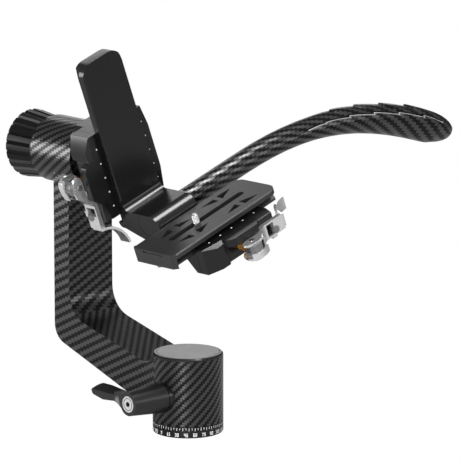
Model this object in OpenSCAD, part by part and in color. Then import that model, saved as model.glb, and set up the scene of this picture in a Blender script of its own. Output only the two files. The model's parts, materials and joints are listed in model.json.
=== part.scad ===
// Gimbal head for long lenses: pan base, L-shaped arm, tilt barrel, cradle and handle.
// Millimetres, +Z up. The origin is the centre of the base's underside, on the pan axis.
// +X runs along the tilt axis from the lock knob to the cradle; +Y is the way the lens looks.

/* [Pan base] */
// Radius of the hub and of the scale ring
hub_r = 30; // [29:0.5:34]
// Height of the scale ring
ring_h = 9.4; // [8:0.2:12]
// Height of the hub's top above the underside
hub_top = 66; // [64:0.5:72]
// Height of the cap that closes the hub
cap_h = 2.6; // [2:0.1:4]
// Radius of the satin disc set in the cap
cap_disc_r = 27; // [22:0.5:28]
// Radius of the tripod thread's bore
tripod_bore_r = 4; // [3:0.1:4.5]
// Radius of the pan spindle in its bearings
spindle_r = 10; // [9:0.5:11]

/* [Pan lock] */
// Height of the pan lock's axis
lock_z = 33.5; // [32:0.5:36]
// Radius of the lock lever's cone at the hub
lock_cone_r1 = 13; // [12:0.5:14]
// Radius of the lock lever's cone at its outer end
lock_cone_r2 = 10; // [9.8:0.1:12]
// Distance of the lever's outer face from the pan axis
lock_reach = 67; // [60:1:72]
// Length of the lever's wing from the lock axis
wing_len = 48.5; // [44:0.5:60]
// Angle of the wing above the horizontal
wing_angle = 0; // [-3:1:12]

/* [Arm] */
// Height of the tilt axis
tilt_z = 221; // [215:1:240]
// Distance of the arm's outer face from the pan axis
arm_out = 147; // [146:0.5:150]
// Thickness of the upright
arm_t = 20; // [18:0.5:22]
// Width of the arm, front to back
arm_w = 49; // [44:1:52]
// Radius of the tilt barrel
barrel_r = 29; // [27:0.5:31]
// Distance of the barrel's knob end from the pan axis
barrel_out = 173; // [171:0.5:176]
// Distance of the barrel's cradle end from the pan axis
barrel_in = 119.6; // [119:0.1:121]

/* [Tilt knob] */
// Length of the knob
knob_len = 33; // [30:0.5:36]
// Radius of the knob at its outer end
knob_r1 = 30; // [29:0.5:32]
// Radius of the knob at the barrel
knob_r2 = 26.5; // [26:0.5:28.5]
// Number of ribs round the knob
knob_ribs = 22; // [18:1:26]

/* [Cradle] */
// Lean of the cradle about the tilt axis
lean = 20.5; // [0:0.5:30]
// Distance of the upright clamp's marked face from the pan axis
strip_x = 78; // [77:0.5:80]
// Drop of the level clamp's marked face below the tilt axis
strip_drop = 51.4; // [50.9:0.1:52]
// Distance of the level clamp and the camera plate ahead of the tilt axis
plate_v = 6.5; // [3:0.5:7]

/* [Clamps] */
// Length of each clamp
clamp_len = 78; // [76:1:84]
// Depth of each clamp below its marked face
clamp_d = 23; // [22.5:0.5:26]
// Half width of the dovetail foot
dove_w = 19; // [18.6:0.1:19.4]
// Depth of the dovetail channel
channel_d = 6; // [5.5:0.1:6.5]
// Travel of the moving jaw
jaw_travel = 2; // [1:0.1:2.2]
// Radius of the brass washer
washer_r = 4.6; // [4:0.1:4.8]
// Radius of the guide pins
guide_r = 2.5; // [2:0.1:3]
// Radius of the pull stud
stud_r = 2.5; // [2.2:0.1:2.8]
// Radius of the cam pin
cam_pin_r = 2.4; // [2:0.1:2.6]
// Radius of the lock button in each lever
button_r = 3.2; // [2.5:0.1:3.4]
// Thickness of the lever's two cheeks
cheek_t = 2; // [1.8:0.1:2.4]
// Thickness of the lever's arm
lever_arm_t = 4.1; // [3.8:0.1:4.6]

/* [Height bracket] */
// Half width of the bracket
bracket_w = 22.6; // [21:0.1:23]
// Height of the bracket's top above the tilt axis
bracket_top = 101; // [95:1:120]
// Height of the bracket's face above the clamp's marked face
bracket_proud = 6.4; // [6:0.1:8]
// Drop of the foot's top below the tilt axis
foot_drop = 35.5; // [34.5:0.1:36]
// Radius of the bracket's top corners
bracket_corner = 9; // [5:0.5:14]
// Travel of the bracket down from where it is drawn
bracket_down = 30; // [10:1:40]
// Travel of the bracket up from where it is drawn
bracket_up = 8; // [4:0.5:8]

/* [Camera plate] */
// Length of the camera plate
plate_len = 126; // [110:1:140]
// Shift of the plate's middle from the clamp's middle, towards the lens's rear
plate_back = 1.3; // [0:0.1:4]
// Half width of the camera plate
plate_w = 26; // [25:0.1:26.8]
// Height of the plate's top above the clamp's marked face
plate_proud = 7.9; // [7:0.1:9]
// Thickness of the plate's top slab
slab_t = 4.5; // [4:0.1:5]
// Length of the screw slot
slot_len = 88; // [60:1:96]
// Radius of the camera screw's thread
screw_r = 3.175; // [3:0.025:3.3]
// Height of the camera screw above the plate
screw_proud = 8; // [5:0.5:10]
// Place of the camera screw along the plate, from its middle
screw_v = -12; // [-20:1:20]

/* [Handle] */
// Distance of the handle's socket from the pan axis
handle_x = 47; // [46.5:0.1:47.5]
// Drop of the handle's axis below the tilt axis
handle_drop = 45.5; // [45:0.1:46]
// Radius of the handle at its root
handle_r = 10; // [9.3:0.1:10]
// Reach of the handle ahead of the tilt axis
handle_reach = 331; // [300:1:360]
// Drop of the handle's tip below its root
handle_fall = 86; // [60:0.5:110]
// Half width of the handle's grip
grip_a = 13.6; // [12:0.1:15]
// Height of the grip above its axis
grip_b = 12; // [10:0.1:14.4]
// Depth of the grip below its axis
grip_c = 16.2; // [12:0.1:18]
// Swell of the grip's back above the round section
grip_back = 0.7; // [0:0.1:4]
// Height of each finger step on the grip
step_h = 1.5; // [0:0.1:2]
// Distance from one finger step to the next
step_pitch = 27; // [24:1:34]

/* [Hidden] */
$fn = 64;
fit = 0.05;      // running clearance of a pin or shaft, on the radius
gap = 0.3;       // clearance between faces that pass each other
seat = 0.02;     // clearance of a piece that is fixed in its seat, on the radius
eps = 0.01;

// bearings, both axes: bore is the shaft, outer radius and width follow
bearing_r = spindle_r + 6;
bearing_w = 7;
ball_r = 1.7;
ball_count = 14;
ball_pcr = (spindle_r + bearing_r) / 2;

// pan base
flange_r = spindle_r + 10;
flange_h = 3.6;
drum_r = spindle_r + 2;
tripod_bush_r = 8;
tripod_bush_h = 11.8;
base_screw_r = 2;
base_head_r = 3.4;
bearing1_z = ring_h + flange_h + 0.6;
bearing2_z = hub_top - 16;
hub_bore_r = drum_r + 2.5;
nut_z = bearing2_z + bearing_w + gap;
nut_h = 4.2;
cap_spigot_r = hub_r - 4.1;
cap_spigot_h = 3.5;
cap_disc_t = 1.4;

// pan lock
collar_r = lock_cone_r1 + 0.6;
collar_in = hub_r - 3.5;
collar_out = hub_r + 2;
rod_r = 4;
pad_r = 5;
pad_h = 4;
lock_travel = 0.4;
lock_head_r = 6.9;
lock_coil_r = 5.6;
wing_t = 10.5;
wing_slope = 24;

// tilt
tilt_shaft_r = spindle_r;
knob_gap = 0.4;
knob_x1 = barrel_out + knob_gap;
knob_x0 = knob_x1 + knob_len;
knob_thread_r = 6;
knob_bush_r = 14;
knob_bush_len = 22;
knob_cap_r = 20;
friction_r = 21;
friction_t = 1.6;
bearing_inset = 1.5;
flange_screw_r = 4;
flange_head_r = 6.5;
flange_x0 = barrel_in - 0.4;
flange_x1 = strip_x + clamp_d + 0.2;
body_d = 11.5;
flange_x2 = strip_x + body_d + 0.1;
flange_split = 8;
shaft_end = flange_x1 + 4;

// clamps, in their own frame: x to the lever, y the way the lever points, z out of the marked face
half_len = clamp_len / 2;
gap_x = 23.3;
jaw_x = gap_x + gap;
dove_clear = 0.15;
neck_w = dove_w - 3;
lip_d = 0.6;
flank_d = lip_d + 3;
roof_d = 7;
pin_z = -14.5;
pivot_x = 49.5;
pivot_y = 1;
washer_t = 3;
washer_x = 37.2;
cam_r = pivot_x - washer_x - washer_t - gap - 0.15;
cam_fall = jaw_travel + 0.3;
lever_open = 90;
lever_top = -roof_d - 0.6;
lever_bot = -21.4;
lever_in = 36.9;
lever_out = lever_in + lever_arm_t;
eye_t = 5.4;
eye_r = 4.6;
washer_face = 34;
guide_y = 26;
clamp_screw_r = 2;
clamp_head_r = 3.8;
tilt_screw_depth = 14;
plate_screw_depth = 9;
stud_head_r = 4;
pocket_r = stud_head_r + 0.2;
screw_pos = [[-16, -12], [-16, 12], [2, -12], [2, 12]];
mark_pitch = 13.5;
mark_x = 26.6;

// bracket and foot
bracket_face = strip_x - bracket_proud;
dove_foot = channel_d - 0.3;
bracket_back = strip_x + dove_foot;
nose_r = 12;
nose_x = 41;
tongue_top = strip_drop + body_d + 0.1;
tongue_end = 8;
socket_r = 8;
cap_r = handle_drop - foot_drop - 0.4;
handle_bolt_r = 3;
bolt_head_r = 6.4;
spigot_r = 6.5;

// plate
slot_r = screw_r + 0.15;
shank_r = screw_r - 0.6;
head_r = 8;
head_d = 4.4;
plate_front = -plate_len / 2 - plate_back;
plate_rear = plate_len / 2 - plate_back;
front_stop_y = plate_front + 3.6;
rear_stop_y = plate_rear - 7;

// handle
bore_end = 61;
steps_from = 179;
side_n = 20;

// ---------------------------------------------------------------- frames and helpers

// A solid cylinder along X from x0 to x1.
module rod_x(x0, x1, r) {
    translate([min(x0, x1), 0, 0])
        rotate([0, 90, 0])
            cylinder(h = abs(x1 - x0), r = r);
}

// A solid cylinder along Y from y0 to y1.
module rod_y(y0, y1, r, r2 = -1) {
    translate([0, y0, 0])
        rotate([-90, 0, 0])
            cylinder(h = y1 - y0, r1 = r, r2 = r2 < 0 ? r : r2);
}

// An outline in the XZ plane, extruded along Y from y0 to y1.
module slab_y(y0, y1) {
    translate([0, y1, 0])
        rotate([90, 0, 0])
            linear_extrude(y1 - y0)
                children();
}

// An outline in the XY plane, extruded along Z from z0 to z1.
module slab_z(z0, z1) {
    translate([0, 0, z0])
        linear_extrude(z1 - z0)
            children();
}

// The cradle's frame: X along the tilt axis, Y the way the lens looks, Z square to the plate.
module cradle() {
    translate([0, 0, tilt_z])
        rotate([lean, 0, 0])
            children();
}

// Frame of the upright clamp, which holds the bracket.
module at_tilt_clamp() {
    cradle()
        translate([-strip_x, 0, 0])
            rotate([0, 90, 0])
                rotate([0, 0, -90])
                    children();
}

// Frame of the level clamp, which holds the camera plate.
module at_plate_clamp() {
    cradle()
        translate([0, plate_v, -strip_drop])
            children();
}

// Frame of the pan lock: Y along the lock axis, which points away from the pan axis at -Y.
module at_lock() {
    translate([0, 0, lock_z])
        children();
}

// Points on an arc about c, from angle a0 to a1.
function arc(c, r, a0, a1, n = 8) =
    [for (i = [0:n]) c + r * [cos(a0 + (a1 - a0) * i / n), sin(a0 + (a1 - a0) * i / n)]];

// A compression spring along X: one unbroken tube.
module coil_x(x0, x1, r, wire, turns) {
    per = 12;
    sides = 6;
    rings = turns * per;
    pts = [for (i = [0:rings], s = [0:sides - 1])
        let (a = 360 * i / per, b = 360 * s / sides, q = r + wire * cos(b))
            [x0 + wire + (x1 - x0 - 2 * wire) * i / rings + wire * sin(b), q * cos(a), q * sin(a)]];
    sides_f = [for (i = [0:rings - 1], s = [0:sides - 1])
        let (a = i * sides + s, b = i * sides + (s + 1) % sides)
            each [[a, b, b + sides], [a, b + sides, a + sides]]];
    ends_f = [for (s = [1:sides - 2]) each [[0, s + 1, s],
        [rings * sides, rings * sides + s, rings * sides + s + 1]]];
    polyhedron(points = pts, faces = concat(sides_f, ends_f));
}

// ---------------------------------------------------------------- bearings

// One bearing ring as a turned section along Z, from radius r0 to r1, with the ball groove.
module race(r0, r1) {
    rotate_extrude()
        difference() {
            translate([r0, 0])
                square([r1 - r0, bearing_w]);
            translate([ball_pcr, bearing_w / 2])
                circle(r = ball_r + fit, $fn = 32);
        }
}

module inner_race() {
    race(spindle_r + seat, ball_pcr - 1.1);
}

module outer_race() {
    race(ball_pcr + 1.1, bearing_r - seat);
}

module ball_set() {
    for (i = [0:ball_count - 1])
        rotate([0, 0, 360 * i / ball_count])
            translate([ball_pcr, 0, bearing_w / 2])
                sphere(r = ball_r, $fn = 24);
}

module at_pan_bearings() {
    for (z = [bearing1_z, bearing2_z])
        translate([0, 0, z])
            children();
}

module at_tilt_bearings() {
    for (x = [-barrel_out + bearing_inset, -barrel_in - bearing_inset - bearing_w])
        translate([x, 0, tilt_z])
            rotate([0, 90, 0])
                children();
}

module pan_bearing_inner_rings() {
    color("silver")
        at_pan_bearings()
            inner_race();
}

module pan_bearing_outer_rings() {
    color("silver")
        at_pan_bearings()
            outer_race();
}

module pan_bearing_balls() {
    color("gainsboro")
        at_pan_bearings()
            ball_set();
}

module tilt_bearing_inner_rings() {
    color("silver")
        at_tilt_bearings()
            inner_race();
}

module tilt_bearing_outer_rings() {
    color("silver")
        at_tilt_bearings()
            outer_race();
}

module tilt_bearing_balls() {
    color("gainsboro")
        at_tilt_bearings()
            ball_set();
}

// ---------------------------------------------------------------- pan base

base_screw_pcr = flange_r - 3.6;

module at_base_screws() {
    for (i = [0:3])
        rotate([0, 0, 45 + 90 * i])
            translate([base_screw_pcr, 0, 0])
                children();
}

module base_ring() {
    color("#1c1c1e")
        difference() {
            rotate_extrude()
                polygon([[drum_r + seat, 0], [hub_r - 0.8, 0], [hub_r, 0.8], [hub_r, ring_h - 0.3],
                    [hub_r - 0.3, ring_h], [drum_r + seat, ring_h]]);
            at_base_screws()
                union() {
                    translate([0, 0, -eps])
                        cylinder(h = 2.6 + eps, r = base_head_r + gap);
                    translate([0, 0, -eps])
                        cylinder(h = ring_h + 1, r = base_screw_r + seat);
                }
        }
}

module tripod_bush() {
    color("silver")
        difference() {
            cylinder(h = tripod_bush_h, r = tripod_bush_r - seat);
            translate([0, 0, -eps])
                cylinder(h = tripod_bush_h + 1, r = tripod_bore_r);
        }
}

module pan_spindle() {
    color("dimgray")
        difference() {
            union() {
                translate([0, 0, 0.4])
                    cylinder(h = ring_h - 0.4, r = drum_r);
                translate([0, 0, ring_h])
                    cylinder(h = flange_h - 0.2, r = flange_r);
                translate([0, 0, ring_h])
                    cylinder(h = bearing1_z - ring_h, r = spindle_r + 2.2);
                cylinder(h = nut_z + nut_h + 0.5, r = spindle_r);
                translate([0, 0, bearing1_z + bearing_w])
                    cylinder(h = bearing2_z - bearing1_z - bearing_w, r = drum_r);
            }
            translate([0, 0, -eps])
                cylinder(h = tripod_bush_h + 0.2, r = tripod_bush_r);
            at_base_screws()
                translate([0, 0, -eps])
                    cylinder(h = ring_h + flange_h, r = base_screw_r + seat);
        }
}

module base_screws() {
    color("gray")
        at_base_screws()
            difference() {
                union() {
                    translate([0, 0, 0.3])
                        cylinder(h = 2.3, r = base_head_r);
                    translate([0, 0, 0.3])
                        cylinder(h = ring_h + flange_h - 1.2, r = base_screw_r);
                }
                translate([0, 0, 0.2])
                    cylinder(h = 1.6, r = 1.4, $fn = 6);
            }
}

module spindle_nut() {
    color("gray")
        translate([0, 0, nut_z])
            difference() {
                cylinder(h = nut_h, r = spindle_r + 3.5);
                translate([0, 0, -eps])
                    cylinder(h = nut_h + 1, r = spindle_r + seat);
                for (i = [0:3])
                    rotate([0, 0, 90 * i])
                        translate([spindle_r + 2, -1.5, -eps])
                            cube([4, 3, nut_h + 1]);
            }
}

// ---------------------------------------------------------------- arm

arm_in = arm_out - arm_t;
// The lower limb: heights of its underside and top where it meets the hub and the upright.
limb_under = 21.5;
limb_top = 59;
limb_rise_under = 0.333;
limb_rise_top = 0.25;
// The limb's heights are given where it leaves the hub; it runs on into the hub to this distance.
limb_root = 8;
limb_ref = 30;
// Fillet where the limb's top meets the hub
limb_fillet_r = 7;

// Side outline of the arm, upright and lower limb, seen from the front.
module arm_outline() {
    // height of the limb's underside and top at a distance from the pan axis
    function under(x) = limb_under + limb_rise_under * (x - limb_ref);
    function over(x) = limb_top + limb_rise_top * (x - limb_ref);
    turn_under = atan(limb_rise_under);
    turn_over = atan(limb_rise_top);
    out_r = 17;
    in_r = 26;
    // outer bend is tangent to the outer face and to the underside
    out_x = arm_out - out_r;
    out_z = under(out_x) + out_r / cos(turn_under);
    // inner bend is tangent to the inner face and to the limb's top
    in_x = arm_in - in_r;
    in_z = over(in_x) + in_r / cos(turn_over);
    polygon(concat(
        [[-limb_root, under(limb_root)]],
        arc([-out_x, out_z], out_r, 270 - turn_under, 180),
        [[-arm_out, tilt_z], [-arm_in, tilt_z]],
        arc([-in_x, in_z], in_r, 180, 270 - turn_over),
        [[-limb_root, over(limb_root)]]));
}

// Plan outline of the lower limb, which flares into the hub.
module limb_plan() {
    half = arm_w / 2;
    flare_r = 80;
    // the flare's end lies this far inside the hub, so that the two surfaces cross
    flare_in = 0.15;
    flare_x = sqrt(pow(hub_r - flare_in + flare_r, 2) - pow(half + flare_r, 2));
    touch = atan2(half + flare_r, -flare_x);
    polygon(concat(
        [[-barrel_out, -half], [-barrel_out, half]],
        arc([-flare_x, half + flare_r], flare_r, 270, touch + 180, 16),
        arc([-flare_x, -half - flare_r], flare_r, 180 - touch, 90, 16)));
}

// Ring with a hollow flank round the hub, which the limb's plan cuts to its own width.
module hub_fillet() {
    foot_z = hub_top - limb_fillet_r - 0.6;
    rotate_extrude()
        polygon(concat(
            [[hub_r - 2, foot_z - 6], [hub_r + limb_fillet_r, foot_z - 6]],
            arc([hub_r + limb_fillet_r, foot_z + limb_fillet_r], limb_fillet_r, 270, 180, 10),
            [[hub_r - 2, foot_z + limb_fillet_r]]));
}

module gimbal_arm() {
    color("#2b2b2d")
        difference() {
            union() {
                translate([0, 0, ring_h + gap])
                    cylinder(h = hub_top - ring_h - gap, r = hub_r);
                intersection() {
                    slab_y(-hub_r, hub_r)
                        arm_outline();
                    slab_z(0, tilt_z + barrel_r)
                        limb_plan();
                }
                intersection() {
                    hub_fillet();
                    slab_z(0, hub_top)
                        limb_plan();
                }
                translate([0, 0, tilt_z])
                    rod_x(-barrel_out, -barrel_in, barrel_r);
            }
            // inside of the hub, from below
            translate([0, 0, ring_h])
                cylinder(h = bearing1_z - ring_h, r = flange_r + 0.4);
            translate([0, 0, ring_h])
                cylinder(h = bearing1_z + bearing_w - ring_h, r = bearing_r);
            translate([0, 0, ring_h])
                cylinder(h = hub_top - ring_h, r = hub_bore_r);
            translate([0, 0, bearing2_z])
                cylinder(h = hub_top - bearing2_z + 1, r = bearing_r);
            translate([0, 0, hub_top - cap_spigot_h - gap])
                cylinder(h = cap_spigot_h + 1, r = cap_spigot_r + seat);
            // seat and bore of the pan lock
            at_lock() {
                rod_y(-hub_r - 5, -collar_in, collar_r + seat);
                rod_y(-hub_r - 5, -drum_r, pad_r + fit);
            }
            // inside of the barrel
            translate([0, 0, tilt_z]) {
                rod_x(-barrel_out - 1, -barrel_in + 1, bearing_r - 2);
                rod_x(-barrel_out - 1, -barrel_out + bearing_inset + bearing_w, bearing_r);
                rod_x(-barrel_in - bearing_inset - bearing_w, -barrel_in + 1, bearing_r);
            }
        }
}

module pan_cap_rim() {
    color("#161617")
        translate([0, 0, hub_top])
            rotate_extrude()
                polygon([[0, -cap_spigot_h], [cap_spigot_r, -cap_spigot_h], [cap_spigot_r, 0],
                    [hub_r - 0.2, 0], [hub_r - 0.2, cap_h - 1.2], [hub_r - 1.4, cap_h],
                    [cap_disc_r + seat, cap_h], [cap_disc_r + seat, cap_h - cap_disc_t],
                    [0, cap_h - cap_disc_t]]);
}

module pan_cap_disc() {
    color("#4a4a4d")
        translate([0, 0, hub_top + cap_h - cap_disc_t])
            rotate_extrude()
                polygon([[0, 0], [cap_disc_r, 0], [cap_disc_r, cap_disc_t - 0.2],
                    [cap_disc_r - 0.5, cap_disc_t + 0.2], [0, cap_disc_t + 0.2]]);
}

// ---------------------------------------------------------------- pan lock

module pan_lock_collar() {
    color("#161617")
        at_lock()
            difference() {
                rod_y(-collar_out, -collar_in, collar_r);
                rod_y(-collar_out - 1, -collar_in + 1, rod_r + fit);
            }
}

// Wing of the lock lever, seen along the lock axis.
module wing_outline() {
    polygon(concat(
        arc([0, 0], lock_cone_r2, -140, 120, 20),
        [[-13, 6.8], [-19, 7.4], [-wing_len + 14.5, 8.8]],
        arc([-wing_len + 4.4, 4.4], 4.4, 80, 250, 10),
        [[-wing_len + 15, -2], [-19, -0.6], [-15, -1.8]]));
}

module pan_lock_lever() {
    color("#18181a")
        at_lock()
            difference() {
                union() {
                    rod_y(-lock_reach, -collar_out - gap, lock_cone_r2, lock_cone_r1);
                    rotate([0, wing_angle, 0])
                        slab_y(-lock_reach + 0.8, -lock_reach + 0.8 + wing_t)
                            wing_outline();
                }
                rod_y(-lock_reach - 1, -collar_out + 1, rod_r + seat);
                rod_y(-lock_reach - 1, -lock_reach + 2, lock_head_r + gap);
                rod_y(-lock_reach + 14, -collar_out - 5, lock_coil_r + 1.8);
                // the wing's top slopes down towards its outer face, with finger grooves along it
                rotate([0, wing_angle, 0])
                    translate([-wing_len - 5, -lock_reach + 0.8, 4.6])
                        rotate([wing_slope, 0, 0]) {
                            translate([0, -5, 0])
                                cube([wing_len - 14, 30, 12]);
                            for (i = [0:2])
                                translate([4, 2.6 + 3 * i, 0])
                                    rotate([45, 0, 0])
                                        cube([wing_len - 18, 1.1, 1.1]);
                        }
            }
}

module pan_lock_screw() {
    color("silver")
        at_lock()
            difference() {
                rod_y(-lock_reach - 0.3, -lock_reach + 1.8, lock_head_r);
                rod_y(-lock_reach - 1, -lock_reach + 1, 1.4);
            }
}

module pan_lock_spindle() {
    color("gray")
        at_lock()
            rod_y(-lock_reach + 2, -drum_r - gap - pad_h - lock_travel - 0.2, rod_r);
}

module pan_lock_spring() {
    color("silver")
        at_lock()
            rotate([0, 0, 90])
                coil_x(-lock_reach + 14.5, -collar_out - 5.5, lock_coil_r, 0.6, 8);
}

module pan_brake_pad() {
    color("#b08d3c")
        at_lock()
            rod_y(-drum_r - gap - pad_h, -drum_r - gap, pad_r);
}

// ---------------------------------------------------------------- tilt axis

module at_tilt() {
    translate([0, 0, tilt_z])
        children();
}

module tilt_shaft() {
    color("silver")
        at_tilt()
            difference() {
                union() {
                    rod_x(-barrel_out - friction_t - 0.2, -shaft_end, tilt_shaft_r);
                    rod_x(-knob_x0 + 6, -barrel_out, knob_thread_r);
                    rod_x(-barrel_out + bearing_inset + bearing_w,
                        -barrel_in - bearing_inset - bearing_w, tilt_shaft_r + 1.6);
                }
                rod_x(-shaft_end - 22, -shaft_end + 1, flange_screw_r + seat);
            }
}

// Outline of the flange behind the upright clamp, in the clamp's own x and y.
module flange_outline() {
    polygon([[24, -17.4], [18, -29.6], [11, -35], [-11, -35], [-18, -29.6], [-24, -17.4],
        [-24, 17.4], [-18, 29.6], [-11, 35], [11, 35], [18, 29.6], [24, 17.4]]);
}

module tilt_flange() {
    color("#202022")
        difference() {
            at_tilt_clamp()
                union() {
                    slab_z(strip_x - flange_x0, strip_x - flange_x1)
                        flange_outline();
                    slab_z(strip_x - flange_x1 - 1, strip_x - flange_x2)
                        intersection() {
                            flange_outline();
                            translate([-40, -40])
                                square([40 + flange_split, 80]);
                        }
                }
            at_tilt() {
                rod_x(-flange_x0 - 1, -shaft_end, tilt_shaft_r + seat);
                rod_x(-flange_x0 - 1, 0, flange_screw_r + seat);
                rod_x(-flange_x1 + 1.5, 0, flange_head_r + gap);
            }
            at_tilt_clamp()
                for (p = screw_pos)
                    translate([p.x, p.y, -25])
                        cylinder(h = 25, r = clamp_screw_r + seat);
        }
}

module flange_screw() {
    color("gray")
        at_tilt()
            difference() {
                union() {
                    rod_x(-flange_x1 + 1.5, -flange_x1 + 8, flange_head_r);
                    rod_x(-shaft_end - 20, -flange_x1 + 2, flange_screw_r);
                }
                translate([-flange_x1 + 4.5, 0, 0])
                    rotate([0, 90, 0])
                        cylinder(h = 6, r = 3.4, $fn = 6);
            }
}

module tilt_friction_washer() {
    color("#8a8a80")
        at_tilt()
            difference() {
                rod_x(-barrel_out - friction_t - 0.1, -barrel_out - 0.1, friction_r);
                rod_x(-barrel_out - 5, -barrel_out + 5, tilt_shaft_r + fit);
            }
}

module tilt_knob() {
    rib_a = 360 / knob_ribs;
    taper = atan((knob_r1 - knob_r2) / knob_len);
    groove = 1.3;
    color("#1a1a1c")
        at_tilt()
            difference() {
                translate([-knob_x0, 0, 0])
                    rotate([0, 90, 0])
                        union() {
                            translate([0, 0, 1.2])
                                cylinder(h = knob_len - 1.2, r1 = knob_r1, r2 = knob_r2);
                            cylinder(h = 1.2 + eps, r1 = knob_r1 - 1.2, r2 = knob_r1);
                        }
                // grooves between the ribs follow the knob's taper
                for (i = [0:knob_ribs - 1])
                    rotate([rib_a * i, 0, 0])
                        translate([-knob_x0, 0, knob_r1])
                            rotate([0, taper, 0])
                                translate([-2, 0, 0])
                                    rotate([45, 0, 0])
                                        translate([0, -groove, -groove])
                                            cube([knob_len - 1.5, 2 * groove, 2 * groove]);
                rod_x(-knob_x0 + 3, -knob_x1 + 1, knob_bush_r + seat);
                rod_x(-knob_x0 - 1, -knob_x0 + 3, knob_cap_r + seat);
                rod_x(-barrel_out - friction_t - 0.3, -knob_x1 + 1, friction_r + gap);
            }
}

module tilt_knob_bush() {
    color("#b08d3c")
        at_tilt()
            difference() {
                rod_x(-knob_x0 + 3.2, -knob_x0 + 3.2 + knob_bush_len, knob_bush_r);
                rod_x(-knob_x0 + 5, -knob_x1 + 1, knob_thread_r + fit);
            }
}

module tilt_knob_cap() {
    color("#2a2a2c")
        at_tilt()
            translate([-knob_x0 - 0.4, 0, 0])
                rotate([0, 90, 0])
                    union() {
                        cylinder(h = 0.6, r1 = knob_cap_r - 0.8, r2 = knob_cap_r);
                        translate([0, 0, 0.6 - eps])
                            cylinder(h = 2.8, r = knob_cap_r);
                    }
}

// ---------------------------------------------------------------- clamp unit, in its own frame

// Plan of the fixed part.
module clamp_plan() {
    polygon([[-30, -half_len], [-33, -20], [-33, 20], [-30, half_len],
        [gap_x, half_len], [gap_x, -half_len]]);
}

// Cross-section of the fixed part: fixed jaw, channel floor and the keel beside the moving jaw.
module clamp_section() {
    polygon([[-34, 0], [-neck_w - dove_clear, 0], [-neck_w - dove_clear, -lip_d],
        [-dove_w - dove_clear, -flank_d], [-dove_w - dove_clear, -channel_d],
        [gap_x, -channel_d], [gap_x, -clamp_d], [17.5, -clamp_d], [9, -body_d], [-34, -body_d]]);
}

module clamp_body() {
    color("#1b1b1d")
        difference() {
            intersection() {
                slab_y(-half_len, half_len)
                    clamp_section();
                slab_z(-clamp_d - 1, 1)
                    clamp_plan();
            }
            // guide pins
            for (s = [-1, 1])
                translate([0, s * guide_y, pin_z])
                    rod_x(13.5, gap_x + 1, guide_r + seat);
            // stud: head pocket, wall, spring pocket
            translate([0, pivot_y, pin_z]) {
                rod_x(8, 15, pocket_r);
                rod_x(8, gap_x + 1, stud_r + fit);
                rod_x(18.5, gap_x + 1, pocket_r);
            }
            for (p = screw_pos)
                translate([p.x, p.y, -body_d - 1]) {
                    cylinder(h = body_d + 2, r = clamp_screw_r + seat);
                    translate([0, 0, body_d + 1 - channel_d - 2.8])
                        cylinder(h = 5, r = clamp_head_r + seat);
                }
            // engraved marks beside the channel
            clamp_marks(-1);
        }
}

// Small marks on the marked face; side is -1 on the fixed jaw, 1 on the moving jaw.
module clamp_marks(side) {
    for (i = [-2:2])
        translate([side * mark_x - 0.9, i * mark_pitch - 0.5, -0.25])
            cube([1.8, 1, 1]);
}

module clamp_jaw() {
    color("#1e1e20")
        difference() {
            union() {
                // roof over the cam
                slab_z(-roof_d, 0)
                    polygon([[neck_w + dove_clear, -half_len], [31.5, -half_len], [37, -26], [37, -17.5],
                        [43.1, -15], [45, -10.8], [45, 15], [37.6, 21.5], [36.5, 23],
                        [36.5, half_len], [neck_w + dove_clear, half_len]]);
                // block beside the fixed part, scooped out round the washer
                slab_z(-clamp_d, -roof_d + eps)
                    polygon(concat([[jaw_x, -half_len], [31.5, -half_len], [37, -26], [37, -17.5]],
                        arc([37, -13], 3.4, 250, 160, 6),
                        [[washer_face, 13], [36.5, 17], [36.5, half_len], [jaw_x, half_len]]));
            }
            // dovetail flank and the step over the channel floor
            slab_y(-half_len - 1, half_len + 1)
                polygon([[neck_w + dove_clear - 2, -lip_d], [neck_w + dove_clear, -lip_d],
                    [dove_w + dove_clear, -flank_d], [dove_w + dove_clear, -channel_d + 0.1],
                    [jaw_x, -channel_d + 0.1], [jaw_x, -roof_d - 1],
                    [neck_w + dove_clear - 2, -roof_d - 1]]);
            // sloping shoulders at both ends
            translate([31, -half_len, 0])
                rotate([0, 0, -8])
                    rotate([0, 38, 0])
                        translate([0, -2, 0])
                            cube([20, 23.4, 12]);
            translate([30.6, 22.6, 0])
                rotate([0, 27, 0])
                    cube([20, half_len, 12]);
            for (s = [-1, 1])
                translate([0, s * guide_y, pin_z])
                    rod_x(jaw_x - 1, 33, guide_r + fit);
            translate([0, pivot_y, pin_z])
                rod_x(jaw_x - 1, 40, stud_r + 0.1);
            clamp_marks(1);
        }
}

module clamp_pins() {
    color("silver")
        for (s = [-1, 1])
            translate([0, s * guide_y, pin_z])
                rod_x(13.7, 30, guide_r);
}

module clamp_spring() {
    color("silver")
        translate([0, pivot_y, pin_z])
            coil_x(18.8, gap_x - 0.1, 3.3, 0.4, 3);
}

module clamp_stud() {
    color("silver")
        translate([0, pivot_y, pin_z])
            difference() {
                union() {
                    rod_x(11, 14.9, stud_head_r);
                    rod_x(11, pivot_x - 3, stud_r);
                    translate([pivot_x, 0, -eye_t / 2])
                        cylinder(h = eye_t, r = eye_r);
                }
                translate([pivot_x, 0, -6])
                    cylinder(h = 12, r = cam_pin_r + fit);
            }
}

module clamp_cam_pin() {
    color("#c8c8cc")
        translate([pivot_x, pivot_y, lever_bot - 0.3])
            cylinder(h = lever_top - lever_bot + 0.6, r = cam_pin_r);
}

module clamp_washer() {
    color("#b5702a")
        translate([0, pivot_y, pin_z])
            difference() {
                rod_x(washer_face, washer_x + washer_t, washer_r);
                rod_x(washer_face - 1, washer_x + washer_t + 1, stud_r + 0.1);
            }
}

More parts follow.
